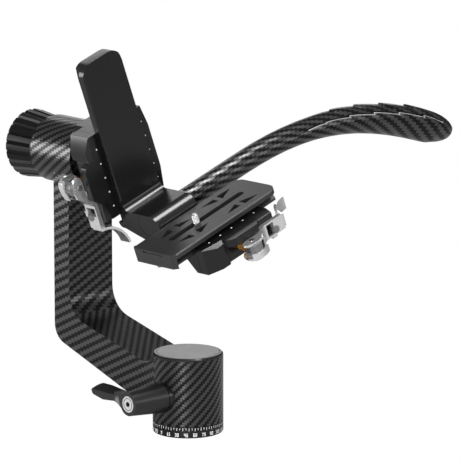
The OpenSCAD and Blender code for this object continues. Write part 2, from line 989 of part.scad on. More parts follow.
// Points of an outline about the cam pin, each given by its angle and radius.
function about_pin(polar) =
    [for (p = polar) [pivot_x, pivot_y] + p[1] * [cos(p[0]), sin(p[0])]];

// The cam itself: its radius falls steadily as the lever opens. A flat slot takes the stud's eye.
module clamp_cam() {
    slot_t = eye_t + 0.2;
    color("#5c5c60")
        difference() {
            slab_z(lever_bot + cheek_t + seat, lever_top - cheek_t - seat)
                polygon(about_pin(concat(
                    [for (a = [110:10:180]) [a, cam_r]],
                    [for (a = [190:10:180 + lever_open]) [a, cam_r - cam_fall * (a - 180) / lever_open]],
                    [[285, 7], [300, 7.8], [320, 9.3], [340, 9.5], [0, 9.5], [30, 8.4], [60, 7.6]])));
            translate([pivot_x, pivot_y, lever_bot - 1])
                cylinder(h = 20, r = cam_pin_r + seat);
            slab_z(pin_z - slot_t / 2, pin_z + slot_t / 2)
                union() {
                    translate([pivot_x, pivot_y])
                        circle(r = eye_r + gap);
                    polygon([[pivot_x, pivot_y + stud_r + gap], [pivot_x - 20, pivot_y + stud_r + gap],
                        [pivot_x - 20, pivot_y - 20], [pivot_x + stud_r + gap, pivot_y - 20],
                        [pivot_x + stud_r + gap, pivot_y]]);
                }
        }
}

// Upper cheek of the lever's head, a drop that runs into the arm.
module upper_cheek_outline() {
    polygon([[45.2, 3.3], [45, -3], [47.2, -8], [50, -9.4], [53.4, -8], [56, -3], [56.2, 4],
        [55, 9.4], [51.5, 12.5], [45.4, 11]]);
}

// Lower cheek, broader on the outer side, where it carries the rim.
module lower_cheek_outline() {
    polygon(about_pin([[110, 12], [150, 8.5], [180, 9.6], [210, 10.2], [240, 10.4], [270, 10.5],
        [285, 11], [300, 12.2], [320, 13.2], [340, 12.2], [0, 11], [20, 11], [60, 12.5]]));
}

// The lever's arm from the head to the finger tab.
module lever_arm_outline() {
    polygon([[55, 9], [51.4, 13.4], [lever_out + 1.6, 20.4], [lever_out, 24], [lever_out, 46.2],
        [lever_in, 45.4], [lever_in, 24], [lever_in + 0.8, 19], [45.4, 10]]);
}

// The finger tab curls back behind the clamp's end.
module lever_tab_outline() {
    tab_t = 2.2;
    c = [lever_out + 1, 74];
    tab_r = 28;
    polygon(concat(
        [[lever_in + 1, 44.5]],
        arc(c, tab_r, 257, 185, 12),
        arc(c, tab_r - tab_t, 185, 266, 12),
        [[lever_out - 0.4, 44.5]]));
}

// Middle of the lock button along the lever and its height.
button_y = 35.6;
button_z = pin_z - 2.4;

module clamp_lever() {
    color("#d6d6da")
        difference() {
            union() {
                slab_z(lever_top - cheek_t, lever_top)
                    upper_cheek_outline();
                slab_z(lever_bot, lever_bot + cheek_t)
                    lower_cheek_outline();
                // raised rim round the lower cheek's outer side
                slab_z(lever_bot, lever_bot + 6.4)
                    polygon(about_pin([[309, 12.6], [320, 13.2], [340, 12.2], [0, 11], [20, 11],
                        [50, 12.4], [46, 10.2], [20, 9.4], [0, 9.6], [340, 10.4], [320, 11.2],
                        [310, 10.8]]));
                slab_z(lever_bot, lever_top)
                    lever_arm_outline();
                slab_z(lever_bot + 1.4, lever_top - 0.6)
                    lever_tab_outline();
                // latch tooth on the lower edge
                slab_z(lever_bot - 2.2, lever_bot + eps)
                    polygon([[lever_in + 1, 30.4], [lever_out, 30], [lever_out - 0.4, 36],
                        [lever_in + 1.2, 35]]);
            }
            translate([pivot_x, pivot_y, lever_bot - 1])
                cylinder(h = 20, r = cam_pin_r + seat);
            // window through the arm
            translate([lever_in - 1, 26, lever_bot + 1.5])
                cube([lever_arm_t + 3, 8, lever_top - lever_bot - 3]);
            // grip grooves on the tab's outer face
            for (a = [198, 204, 210])
                translate([lever_out + 1 + 28.2 * cos(a), 74 + 28.2 * sin(a), lever_bot])
                    cylinder(h = 20, r = 0.7);
            // seat of the lock button
            translate([0, button_y, button_z])
                rod_x(lever_in + 1.1, lever_out + 1, button_r + fit);
        }
}

module clamp_button() {
    color("#9a9aa0")
        translate([0, button_y, button_z])
            rod_x(lever_in + 2.4, lever_out + 1, button_r);
}

module clamp_screws(depth) {
    color("gray")
        for (p = screw_pos)
            translate([p.x, p.y, -channel_d - 0.2])
                difference() {
                    union() {
                        translate([0, 0, -2.6])
                            cylinder(h = 2.6, r = clamp_head_r);
                        translate([0, 0, -depth])
                            cylinder(h = depth, r = clamp_screw_r);
                    }
                    translate([0, 0, -1.6])
                        cylinder(h = 2, r = 1.6, $fn = 6);
                }
}

module tilt_clamp_body() {
    at_tilt_clamp()
        clamp_body();
}

module tilt_clamp_jaw() {
    at_tilt_clamp()
        clamp_jaw();
}

module tilt_clamp_pins() {
    at_tilt_clamp()
        clamp_pins();
}

module tilt_clamp_spring() {
    at_tilt_clamp()
        clamp_spring();
}

module tilt_clamp_stud() {
    at_tilt_clamp()
        clamp_stud();
}

module tilt_clamp_cam_pin() {
    at_tilt_clamp()
        clamp_cam_pin();
}

module tilt_clamp_washer() {
    at_tilt_clamp()
        clamp_washer();
}

module tilt_clamp_cam() {
    at_tilt_clamp()
        clamp_cam();
}

module tilt_clamp_lever() {
    at_tilt_clamp()
        clamp_lever();
}

module tilt_clamp_button() {
    at_tilt_clamp()
        clamp_button();
}

module tilt_clamp_screws() {
    at_tilt_clamp()
        clamp_screws(tilt_screw_depth);
}

module plate_clamp_body() {
    at_plate_clamp()
        clamp_body();
}

module plate_clamp_jaw() {
    at_plate_clamp()
        clamp_jaw();
}

module plate_clamp_pins() {
    at_plate_clamp()
        clamp_pins();
}

module plate_clamp_spring() {
    at_plate_clamp()
        clamp_spring();
}

module plate_clamp_stud() {
    at_plate_clamp()
        clamp_stud();
}

module plate_clamp_cam_pin() {
    at_plate_clamp()
        clamp_cam_pin();
}

module plate_clamp_washer() {
    at_plate_clamp()
        clamp_washer();
}

module plate_clamp_cam() {
    at_plate_clamp()
        clamp_cam();
}

module plate_clamp_lever() {
    at_plate_clamp()
        clamp_lever();
}

module plate_clamp_button() {
    at_plate_clamp()
        clamp_button();
}

module plate_clamp_screws() {
    at_plate_clamp()
        clamp_screws(plate_screw_depth);
}

// ---------------------------------------------------------------- height bracket

// Cross-section of a plate that a clamp holds: slab, neck and dovetail foot.
// half is the slab's half width, proud its top's height, t its thickness.
module dovetail_section(half, proud, t) {
    bevel = 1;
    polygon([[-half, proud - t], [-half, proud - bevel], [-half + bevel, proud], [half - bevel, proud],
        [half, proud - bevel], [half, proud - t], [neck_w, proud - t], [neck_w, -lip_d],
        [dove_w, -flank_d], [dove_w, -dove_foot], [-dove_w, -dove_foot], [-dove_w, -flank_d],
        [-neck_w, -lip_d], [-neck_w, proud - t]]);
}

bracket_slab_t = bracket_proud - gap;
foot_bend_r = 6;
stop_r = 1.5;
stop_head_r = 2.8;
bracket_stop_y = half_len + bracket_down + stop_head_r + gap;
// The foot's back shoulder meets the clamp's end when the bracket is fully up.
shoulder = half_len + bracket_up + gap;
foot_low = shoulder + 5.5;

// Side outline of the bracket's foot in the cradle's X and Z.
module foot_outline() {
    nose_c = [-nose_x, -foot_drop - nose_r];
    slab_back = bracket_face + bracket_slab_t;
    polygon(concat(
        [[-bracket_back, -shoulder], [-slab_back, -shoulder], [-slab_back, -foot_drop + 10],
            [-bracket_face, -foot_drop + 10]],
        arc([-bracket_face + foot_bend_r, -foot_drop + foot_bend_r], foot_bend_r, 180, 270, 6),
        arc(nose_c, nose_r, 90, -15, 12),
        [[-33.8, -strip_drop + gap], [-33.8, -tongue_top],
            [tongue_end, -tongue_top], [tongue_end, -tongue_top - 5.4],
            [-38, -tongue_top - 3.4], [-54.5, -foot_low - 7.2], [-bracket_back + 7, -foot_low]],
        arc([-bracket_back + 5, -foot_low + 5], 5, 250, 180, 6)));
}

// Upright outline of the bracket in the cradle's Y and Z.
module bracket_front() {
    polygon(concat(
        [[-bracket_w, -shoulder - 1], [bracket_w, -shoulder - 1]],
        arc([bracket_w - bracket_corner, bracket_top - bracket_corner], bracket_corner, 0, 90),
        arc([-bracket_w + bracket_corner, bracket_top - bracket_corner], bracket_corner, 90, 180)));
}

module height_bracket() {
    color("#1f1f21")
        difference() {
            union() {
                intersection() {
                    at_tilt_clamp()
                        slab_y(-bracket_top, shoulder + 1)
                            dovetail_section(bracket_w, bracket_proud, bracket_slab_t);
                    cradle()
                        rotate([90, 0, 90])
                            translate([0, 0, -bracket_back - 1])
                                linear_extrude(bracket_back)
                                    bracket_front();
                }
                cradle()
                    slab_y(-bracket_w, bracket_w)
                        foot_outline();
            }
            // handle socket, bolt and cap
            cradle()
                translate([-handle_x, 0, -handle_drop]) {
                    rod_y(-8, bracket_w + 1, socket_r + seat);
                    rod_y(-bracket_w + 2, bracket_w, handle_bolt_r + seat);
                    rod_y(-bracket_w - 1, -10, bolt_head_r + 0.4);
                    rod_y(-bracket_w - 1, -bracket_w + 2.2, cap_r + seat);
                }
            at_plate_clamp()
                for (p = screw_pos)
                    translate([p.x, p.y, -20])
                        cylinder(h = 12, r = clamp_screw_r + seat);
            // stop screws on the back
            at_tilt_clamp()
                for (s = [-1, 1])
                    translate([s * 12, -bracket_stop_y, -dove_foot - 1])
                        cylinder(h = 6, r = stop_r + seat);
        }
}

module bracket_stop_screws() {
    color("gray")
        at_tilt_clamp()
            for (s = [-1, 1])
                translate([s * 12, -bracket_stop_y, -dove_foot - 1.6])
                    union() {
                        cylinder(h = 6, r = stop_r);
                        cylinder(h = 1.5, r = stop_head_r);
                    }
}

module at_handle() {
    cradle()
        translate([-handle_x, 0, -handle_drop])
            children();
}

module socket_cap() {
    color("#242426")
        at_handle()
            rod_y(-bracket_w, -bracket_w + 2, cap_r);
}

module handle_bolt() {
    color("gray")
        at_handle()
            difference() {
                union() {
                    rod_y(-16.4, -10.1, bolt_head_r);
                    rod_y(-12, 12, handle_bolt_r);
                }
                translate([0, -16.5, 0])
                    rotate([-90, 0, 0])
                        cylinder(h = 3.4, r = 3, $fn = 6);
            }
}

module handle_spigot() {
    color("silver")
        at_handle()
            difference() {
                union() {
                    rod_y(-7.8, bracket_w + 2, socket_r);
                    rod_y(bracket_w + 0.1, bracket_w + 2.4, handle_r - 0.5);
                    rod_y(bracket_w, bore_end - 1, spigot_r);
                }
                rod_y(-9, 14, handle_bolt_r + seat);
            }
}

// ---------------------------------------------------------------- handle

// Smooth step from 0 at a to 1 at b.
function ease(x, a, b) = let (u = min(1, max(0, (x - a) / (b - a)))) u * u * (3 - 2 * u);

// The handle runs straight this far from the tilt axis, then bends down.
bend_from = 87;
function handle_drop_at(v) =
    handle_fall * pow(max(0, v - bend_from) / (handle_reach - bend_from - 4), 2.3);

// The tip closes as a rounded end over this length.
tip_len = 30;
function tip_close(v) = let (u = min(1, max(0, (v - handle_reach + tip_len) / tip_len)))
    pow(1 - 0.8 * pow(u, 2.4), 0.5);

function half_a(v) = (handle_r + (grip_a - handle_r) * ease(v, 90, 270)) * tip_close(v);
function half_b(v) = (handle_r + (grip_b - handle_r) * ease(v, 170, 300)) * tip_close(v);
function belly(v) = (handle_r + (grip_c - handle_r) * ease(v, 170, 320)) * tip_close(v);
// The grip's back swells above the round section.
function back_at(v) = grip_back * ease(v, 150, 240) * tip_close(v);
// Height added on top: each finger step starts high and falls to the next one.
function step_at(v, after) = let (u = (v - steps_from) / step_pitch)
    u < 0 || u >= step_count ? 0 :
    step_h * ease(v, steps_from - 2, steps_from + 40) * (after ? 1 : 1 - (u - floor(u)));

root_y = bracket_w + 2.6;
// Stations along the handle: two close together at every finger step.
smooth_end = 14;
step_count = floor((handle_reach - smooth_end - steps_from) / step_pitch);
steps_to = steps_from + step_count * step_pitch;
stations = concat(
    [for (v = [root_y, bore_end + 2]) [v, false]],
    [for (v = [bore_end + 16:14:steps_from - 2]) [v, false]],
    [for (i = [0:step_count - 1], q = [0:3]) let (v = steps_from + step_pitch * i)
        each q == 0 ? [[v - 0.6, false], [v + 0.6, true]] : [[v + q * step_pitch / 4, false]]],
    [for (i = [0:7]) [steps_to + (handle_reach - steps_to) * sin(90 * i / 7), false]]);

// One ring of the handle, square to its run, in the handle's own frame.
function handle_ring(s) = let (v = s[0], w = -handle_drop_at(v),
        slope = atan((handle_drop_at(v + 1) - handle_drop_at(v - 1)) / 2))
    [for (i = [0:side_n - 1]) let (a = 360 * i / side_n,
            up = sin(a) > 0 ? half_b(v) + back_at(v) + step_at(v, s[1]) : belly(v),
            x = half_a(v) * cos(a), n = up * sin(a))
        [x, v + n * sin(slope), w + n * cos(slope)]];

module carbon_handle() {
    rings = [for (s = stations) handle_ring(s)];
    count = len(rings);
    last = (count - 1) * side_n;
    skin = [for (i = [0:count - 2], k = [0:side_n - 1])
        let (a = i * side_n + k, b = i * side_n + (k + 1) % side_n)
            each [[a, b, b + side_n], [a, b + side_n, a + side_n]]];
    ends = [[for (k = [0:side_n - 1]) side_n - 1 - k], [for (k = [0:side_n - 1]) last + k]];
    color("#2b2b2d")
        at_handle()
            difference() {
                polyhedron(points = [for (r = rings) each r], faces = concat(skin, ends));
                rod_y(bracket_w, bore_end, spigot_r + seat);
            }
}

// ---------------------------------------------------------------- camera plate

// Plan of the plate: round corners at the rear, cut corners at the front.
module plate_plan() {
    rear_r = 10;
    polygon(concat(
        [[-plate_w, plate_front + 2], [-plate_w + 1.4, plate_front], [plate_w - 5.4, plate_front],
            [plate_w, plate_front + 3.6]],
        arc([plate_w - rear_r, plate_rear - rear_r], rear_r, 0, 90),
        arc([-plate_w + rear_r, plate_rear - rear_r], rear_r, 90, 180)));
}

// The lightening windows on one side of the slot: four narrow triangles.
module side_windows() {
    polygon([[10.2, -45.5], [9.8, -30.4], [17.6, -30.3]]);
    polygon([[11, -8.7], [9.6, -22.7], [18, -23.5]]);
    polygon([[16.9, 8.9], [10, 24.3], [17.4, 24.6]]);
    polygon([[17.6, 45.9], [10, 29.2], [18.5, 29.4]]);
}

// The slot's outline, for a given radius of its ends.
module slot_outline(r) {
    half = slot_len / 2 - slot_r;
    translate([-r, -half])
        square([2 * r, 2 * half]);
    for (s = [-1, 1])
        translate([0, s * half])
            circle(r = r);
}

module camera_plate() {
    lip_t = 3;
    color("#232325")
        at_plate_clamp()
            difference() {
                intersection() {
                    union() {
                        slab_y(plate_front, plate_rear)
                            dovetail_section(plate_w, plate_proud, slab_t);
                        // full-height lip at the front end
                        slab_y(plate_front, plate_front + lip_t)
                            translate([-plate_w, -dove_foot])
                                square([2 * plate_w, plate_proud + dove_foot]);
                    }
                    slab_z(-10, 10)
                        plate_plan();
                }
                // slot for the camera screw, wider below for its head
                slab_z(-10, 10)
                    slot_outline(slot_r);
                slab_z(-10, -dove_foot + head_d)
                    slot_outline(head_r + 0.4);
                for (m = [0, 1])
                    mirror([m, 0, 0])
                        slab_z(plate_proud - slab_t - 3, 10)
                            side_windows();
                // shallow recess across the front lip
                translate([-14, plate_front - 1, plate_proud - 3.2])
                    cube([25, 2.2, 1.9]);
                for (y = [front_stop_y, rear_stop_y])
                    translate([0, y, -dove_foot - 1])
                        cylinder(h = 6, r = stop_r + seat);
            }
}

module plate_stop_screws() {
    color("gray")
        at_plate_clamp()
            for (y = [front_stop_y, rear_stop_y])
                translate([0, y, -dove_foot - 2])
                    union() {
                        cylinder(h = 6, r = stop_r);
                        cylinder(h = 1.9, r = stop_head_r);
                    }
}

module camera_screw() {
    color("silver")
        at_plate_clamp()
            translate([0, screw_v, 0])
                difference() {
                    union() {
                        translate([0, 0, -dove_foot + 0.1])
                            cylinder(h = 2.8, r = head_r - 0.4);
                        translate([0, 0, -dove_foot + 0.1])
                            cylinder(h = dove_foot + plate_proud + 1, r = shank_r);
                        translate([0, 0, plate_proud + 0.4])
                            cylinder(h = screw_proud - 1, r = screw_r);
                        translate([0, 0, plate_proud + screw_proud - 0.6])
                            cylinder(h = 0.6, r1 = screw_r, r2 = screw_r - 0.6);
                    }
                    translate([-5, -0.8, -dove_foot - 1])
                        cube([10, 1.6, 2.2]);
                }
}

module camera_screw_washer() {
    color("dimgray")
        at_plate_clamp()
            translate([0, screw_v, -dove_foot + 3])
                difference() {
                    cylinder(h = head_d - 3 - 0.1, r = head_r);
                    translate([0, 0, -1])
                        cylinder(h = 4, r = shank_r + fit);
                }
}

base_ring();
tripod_bush();
pan_spindle();
base_screws();
spindle_nut();
pan_bearing_inner_rings();
gimbal_arm();
pan_cap_rim();
pan_cap_disc();
pan_bearing_outer_rings();
pan_bearing_balls();
tilt_bearing_outer_rings();
tilt_bearing_balls();
pan_lock_collar();
pan_lock_lever();
pan_lock_screw();
pan_lock_spindle();
pan_lock_spring();
pan_brake_pad();
tilt_shaft();
tilt_flange();
flange_screw();
tilt_bearing_inner_rings();
tilt_friction_washer();
tilt_knob();
tilt_knob_bush();
tilt_knob_cap();
tilt_clamp_body();
tilt_clamp_jaw();
tilt_clamp_pins();
tilt_clamp_spring();
tilt_clamp_stud();
tilt_clamp_cam_pin();
tilt_clamp_washer();
tilt_clamp_cam();
tilt_clamp_lever();
tilt_clamp_button();
tilt_clamp_screws();
height_bracket();
bracket_stop_screws();
socket_cap();
handle_bolt();
handle_spigot();
carbon_handle();
plate_clamp_body();
plate_clamp_jaw();
plate_clamp_pins();
plate_clamp_spring();
plate_clamp_stud();
plate_clamp_cam_pin();
plate_clamp_washer();
plate_clamp_cam();
plate_clamp_lever();
plate_clamp_button();
plate_clamp_screws();
camera_plate();
plate_stop_screws();
camera_screw();
camera_screw_washer();
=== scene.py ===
import bpy
import bmesh
import json
import math
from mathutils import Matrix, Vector


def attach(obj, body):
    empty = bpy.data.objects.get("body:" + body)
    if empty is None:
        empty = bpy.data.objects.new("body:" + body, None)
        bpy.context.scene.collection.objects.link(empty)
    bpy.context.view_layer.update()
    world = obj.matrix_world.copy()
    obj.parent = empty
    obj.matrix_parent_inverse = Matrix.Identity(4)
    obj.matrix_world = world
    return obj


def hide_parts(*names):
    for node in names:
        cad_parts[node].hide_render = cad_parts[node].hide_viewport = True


# The looks of the gimbal head. Lengths are in mm and angles in degrees, unless a comment says
# otherwise. MM turns a length into the shared frame's metres.

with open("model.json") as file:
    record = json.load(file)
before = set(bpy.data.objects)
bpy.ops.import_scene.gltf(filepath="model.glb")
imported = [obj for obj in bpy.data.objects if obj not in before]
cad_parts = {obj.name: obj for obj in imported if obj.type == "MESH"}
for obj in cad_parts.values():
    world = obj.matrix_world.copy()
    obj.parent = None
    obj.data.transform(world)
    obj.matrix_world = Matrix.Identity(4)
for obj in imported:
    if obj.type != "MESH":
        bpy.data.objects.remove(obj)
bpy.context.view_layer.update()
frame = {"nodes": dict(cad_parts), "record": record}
nodes = frame["nodes"]
scene = bpy.context.scene

MM = 0.001
LEAN = math.radians(20.5)  # how far the cradle leans at rest
TILT_Z = 221.0  # height of the tilt axis
TILT_CLAMP_X = -78.0  # where each clamp's own coordinates start in the cradle
PLATE_CLAMP_V, PLATE_CLAMP_W = 6.5, -51.4


# ---------------------------------------------------------------- frames
def cradle_point(x, v, w):
    """A point given in the cradle (x along the tilt axis, v forward, w up), in the shared frame."""
    c, s = math.cos(LEAN), math.sin(LEAN)
    return Vector((x, v * c - w * s, TILT_Z + v * s + w * c)) * MM


def tilt_clamp_point(x, y, z):
    return cradle_point(z + TILT_CLAMP_X, -x, -y)


def plate_clamp_point(x, y, z):
    return cradle_point(x, y + PLATE_CLAMP_V, z + PLATE_CLAMP_W)


# ---------------------------------------------------------------- material helpers
def new_material(name):
    """A new material, its node tree and its shader."""
    mat = bpy.data.materials.new(name)
    mat.use_nodes = True
    tree = mat.node_tree
    return mat, tree, tree.nodes["Principled BSDF"]


def node(tree, kind, **values):
    n = tree.nodes.new(kind)
    for key, value in values.items():
        setattr(n, key, value)
    return n


def math_node(tree, op, a, b=None):
    """The result of op on numbers or on other nodes' outputs."""
    n = node(tree, "ShaderNodeMath", operation=op)
    for socket, value in zip(n.inputs, (a, b)):
        if value is None:
            continue
        if isinstance(value, (int, float)):
            socket.default_value = value
        else:
            tree.links.new(value, socket)
    return n.outputs[0]


def choose(tree, fac, a, b):
    """a where fac is 0, b where it is 1."""
    n = node(tree, "ShaderNodeMix", data_type="FLOAT")
    tree.links.new(fac, n.inputs["Factor"])
    tree.links.new(a, n.inputs[2])
    tree.links.new(b, n.inputs[3])
    return n.outputs[0]


def noise(tree, scale, detail):
    """Noise that is fixed to the piece. scale is in spots for each metre."""
    n = node(tree, "ShaderNodeTexNoise")
    n.inputs["Scale"].default_value = scale
    n.inputs["Detail"].default_value = detail
    coords = node(tree, "ShaderNodeTexCoord").outputs["Object"]
    tree.links.new(coords, n.inputs["Vector"])
    return n.outputs["Fac"]


def blend_colours(tree, fac, low, high, ends):
    """low where fac is at the first end or less, high at the second end or more."""
    n = node(tree, "ShaderNodeValToRGB")
    for element, place, colour in zip(n.color_ramp.elements, ends, (low, high)):
        element.position = place
        element.color = (*colour, 1)
    tree.links.new(fac, n.inputs["Fac"])
    return n.outputs["Color"]


def grey(v):
    """A grey that is a touch cool."""
    return (v, v, v * 1.02)


def bump(tree, shader, height, distance, strength=1.0):
    """distance is in metres."""
    n = node(tree, "ShaderNodeBump")
    n.inputs["Distance"].default_value = distance
    n.inputs["Strength"].default_value = strength
    tree.links.new(height, n.inputs["Height"])
    tree.links.new(n.outputs["Normal"], shader.inputs["Normal"])


def rough_from(tree, shader, fac, low, high):
    n = node(tree, "ShaderNodeMapRange")
    n.inputs["To Min"].default_value = low
    n.inputs["To Max"].default_value = high
    tree.links.new(fac, n.inputs["Value"])
    tree.links.new(n.outputs["Result"], shader.inputs["Roughness"])


def satin(name, base, rough, metallic=0.0, grain=0.00003, spread=0.12, scale=900, specular=0.5):
    """Anodised or moulded surface: a fine grain, and a slight change of tone and sheen."""
    mat, tree, shader = new_material(name)
    fine = noise(tree, scale, 3)
    broad = noise(tree, 35, 3)
    low = tuple(c * (1 - spread) for c in base)
    high = tuple(c * (1 + spread) for c in base)
    colour = blend_colours(tree, broad, low, high, (0.3, 0.7))
    tree.links.new(colour, shader.inputs["Base Color"])
    shader.inputs["Specular IOR Level"].default_value = specular
    shader.inputs["Metallic"].default_value = metallic
    rough_from(tree, shader, fine, rough - 0.05, rough + 0.05)
    bump(tree, shader, fine, grain)
    return mat


def metal(name, base, rough, turned=False, metallic=1.0):
    """Bare metal; a turned one has a finer grain."""
    mat, tree, shader = new_material(name)
    fine = noise(tree, 1600 if turned else 500, 3)
    broad = noise(tree, 60, 2)
    low = tuple(c * 0.9 for c in base)
    high = tuple(min(1, c * 1.08) for c in base)
    colour = blend_colours(tree, broad, low, high, (0.25, 0.75))
    tree.links.new(colour, shader.inputs["Base Color"])
    shader.inputs["Metallic"].default_value = metallic
    rough_from(tree, shader, fine, rough * 0.75, rough * 1.35)
    bump(tree, shader, fine, 0.00002)
    return mat


TOW = 1.96  # width of one tow of the carbon cloth
TWILL, TWILL_OVER = 4.0, 1.5  # the weave repeats every 4 tows, of which 2 are on top
FILAMENTS = 34.0  # radians of filament ripple across one tow
# The weave's colour: the cross tows painted lighter are painted sheen on the real twill, and the
# arch term is painted shading of each round tow.
CLOTH_DARK, CLOTH_LIGHT = 0.003, 0.014
CROSS_SHEEN_TONE, ARCH_SHADE_TONE, FILAMENT_TONE, DRIFT_TONE = 0.66, 0.2, 0.03, 0.45
CROSS_SHEEN, BASE_SHEEN = 0.8, 0.08


def carbon(name):
    """Twill weave in the UV map, whose unit is one millimetre."""
    mat, tree, shader = new_material(name)

    def calc(op, a, b=None):
        return math_node(tree, op, a, b)

    uv = node(tree, "ShaderNodeUVMap", uv_map="weave")
    split = node(tree, "ShaderNodeSeparateXYZ")
    tree.links.new(uv.outputs["UV"], split.inputs[0])
    u = calc("DIVIDE", split.outputs[0], TOW)
    v = calc("DIVIDE", split.outputs[1], TOW)
    diagonal = calc("SUBTRACT", calc("FLOOR", u), calc("FLOOR", v))
    warp = calc("LESS_THAN", calc("FLOORED_MODULO", diagonal, TWILL), TWILL_OVER)
    cross = calc("SUBTRACT", 1.0, warp)
    # rounded section of each tow: across u where the warp is on top, across v elsewhere; in the
    # colour it is painted shading, lighter along each tow's crown
    arch_u = calc("SINE", calc("MULTIPLY", calc("FRACT", u), math.pi))
    arch_v = calc("SINE", calc("MULTIPLY", calc("FRACT", v), math.pi))
    arch = choose(tree, warp, arch_v, arch_u)
    # fine filaments along each tow
    ripple_u = calc("SINE", calc("MULTIPLY", u, FILAMENTS))
    ripple_v = calc("SINE", calc("MULTIPLY", v, FILAMENTS))
    ripple = choose(tree, warp, ripple_v, ripple_u)
    drift = calc("SUBTRACT", noise(tree, 60, 3), 0.5)
    # painted sheen: the tows where the warp is not on top are painted lighter
    level = calc("MULTIPLY", cross, CROSS_SHEEN_TONE)
    for part, weight in ((arch, ARCH_SHADE_TONE), (ripple, FILAMENT_TONE), (drift, DRIFT_TONE)):
        level = calc("ADD", level, calc("MULTIPLY", part, weight))
    colour = blend_colours(tree, level, grey(CLOTH_DARK), grey(CLOTH_LIGHT), (0.05, 0.95))
    tree.links.new(colour, shader.inputs["Base Color"])
    sheen = calc("ADD", calc("MULTIPLY", cross, CROSS_SHEEN), BASE_SHEEN)
    tree.links.new(sheen, shader.inputs["Specular IOR Level"])
    shader.inputs["Roughness"].default_value = 0.28
    shader.inputs["IOR"].default_value = 1.5
    shader.inputs["Coat Weight"].default_value = 0.22
    shader.inputs["Coat Roughness"].default_value = 0.2
    bump(tree, shader, arch, 0.00008, 0.6)
    return mat


BLACK = satin("black_anodised", grey(0.006), 0.22)
PLATE_BLACK = satin("plate_anodised", grey(0.022), 0.34, specular=0.6)
ROOF_BLACK = satin("jaw_anodised", grey(0.006), 0.22, grain=0.00001)
DARK_GREY = satin("satin_grey", grey(0.17), 0.25, grain=0.00005)
PLASTIC = satin("black_polymer", grey(0.006), 0.32, grain=0.00006, scale=600, specular=0.6)
STEEL = metal("steel", (0.5, 0.5, 0.51), 0.28, turned=True)
CHROME = satin("polished_metal", (0.97, 0.97, 0.98), 0.15, metallic=0.85, grain=0.0, spread=0.02)
# A light grey strip along the handle's rim is a painted highlight on the rim's edge.
RIM_HIGHLIGHT = satin("rim_highlight", grey(0.42), 0.25, grain=0.0)
PAINTED_SHADE = satin("rim_shadow", grey(0.002), 0.6, grain=0.0, specular=0.1)
BRASS = metal("brass", (0.60, 0.29, 0.07), 0.3, metallic=0.6)
KNOB_BLACK = satin("knob_polymer", grey(0.003), 0.3, grain=0.00002, scale=600, specular=0.2)
BEARING = metal("bearing_steel", (0.7, 0.7, 0.71), 0.2)
POLYMER = satin("friction_polymer", (0.42, 0.42, 0.38), 0.55)
WHITE = satin("white_marks", (0.95, 0.95, 0.95), 0.6, grain=0.0, spread=0.02)
CARBON = carbon("carbon_weave")

SLOT_LOOK = {
    "black_anodised": BLACK, "steel": STEEL, "bearing_steel": BEARING, "carbon_weave": CARBON,
    "satin_grey": DARK_GREY, "black_plastic": PLASTIC, "polished_metal": CHROME,
    "brass": BRASS, "friction_polymer": POLYMER,
}
SLOT_OF = {row["node"]: row["material_slot"] for row in frame["record"]["subparts"]}
BODY_OF = {n: body for body, names in frame["record"]["behaviour"]["bodies"].items() for n in names}


# ---------------------------------------------------------------- mesh helpers
def add_piece(name, mesh, mat, body, replace=None):
    """A piece of the scene that rides on a body. replace names the nodes that it stands for."""
    obj = bpy.data.objects.new(name, mesh)
    bpy.context.collection.objects.link(obj)
    obj.data.materials.clear()
    obj.data.materials.append(mat)
    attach(obj, body)
    if replace:
        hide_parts(*replace)
    return obj


def new_mesh(name, verts, faces, uvs=None):
    """A mesh from vertices in metres. uvs, when given, is one pair for each vertex of each face."""
    mesh = bpy.data.meshes.new(name)
    mesh.from_pydata([tuple(v) for v in verts], [], faces)
    if uvs is not None:
        layer = mesh.uv_layers.new(name="weave")
        layer.data.foreach_set("uv", [c for pair in uvs for c in pair])
    mesh.update()
    return mesh


def smooth_by_angle(mesh, degrees):
    mesh.polygons.foreach_set("use_smooth", [True] * len(mesh.polygons))
    limit = math.radians(degrees)
    bm = bmesh.new()
    bm.from_mesh(mesh)
    for edge in bm.edges:
        edge.smooth = len(edge.link_faces) == 2 and edge.calc_face_angle(0.0) < limit
    bm.to_mesh(mesh)
    bm.free()


def face_outwards(mesh):
    bm = bmesh.new()
    bm.from_mesh(mesh)
    bmesh.ops.recalc_face_normals(bm, faces=bm.faces)
    bm.to_mesh(mesh)
    bm.free()


def apply_modifier(obj, mod):
    bpy.context.view_layer.objects.active = obj
    with bpy.context.temp_override(object=obj, active_object=obj, selected_objects=[obj]):
        bpy.ops.object.modifier_apply(modifier=mod.name)


WELD = 0.000005  # metres; points of a CAD mesh that are closer than this are one
FLAT_WITHIN, SHARP_FROM, SMOOTH_BELOW = 1.0, 30.0, 35.0  # angles between neighbouring faces


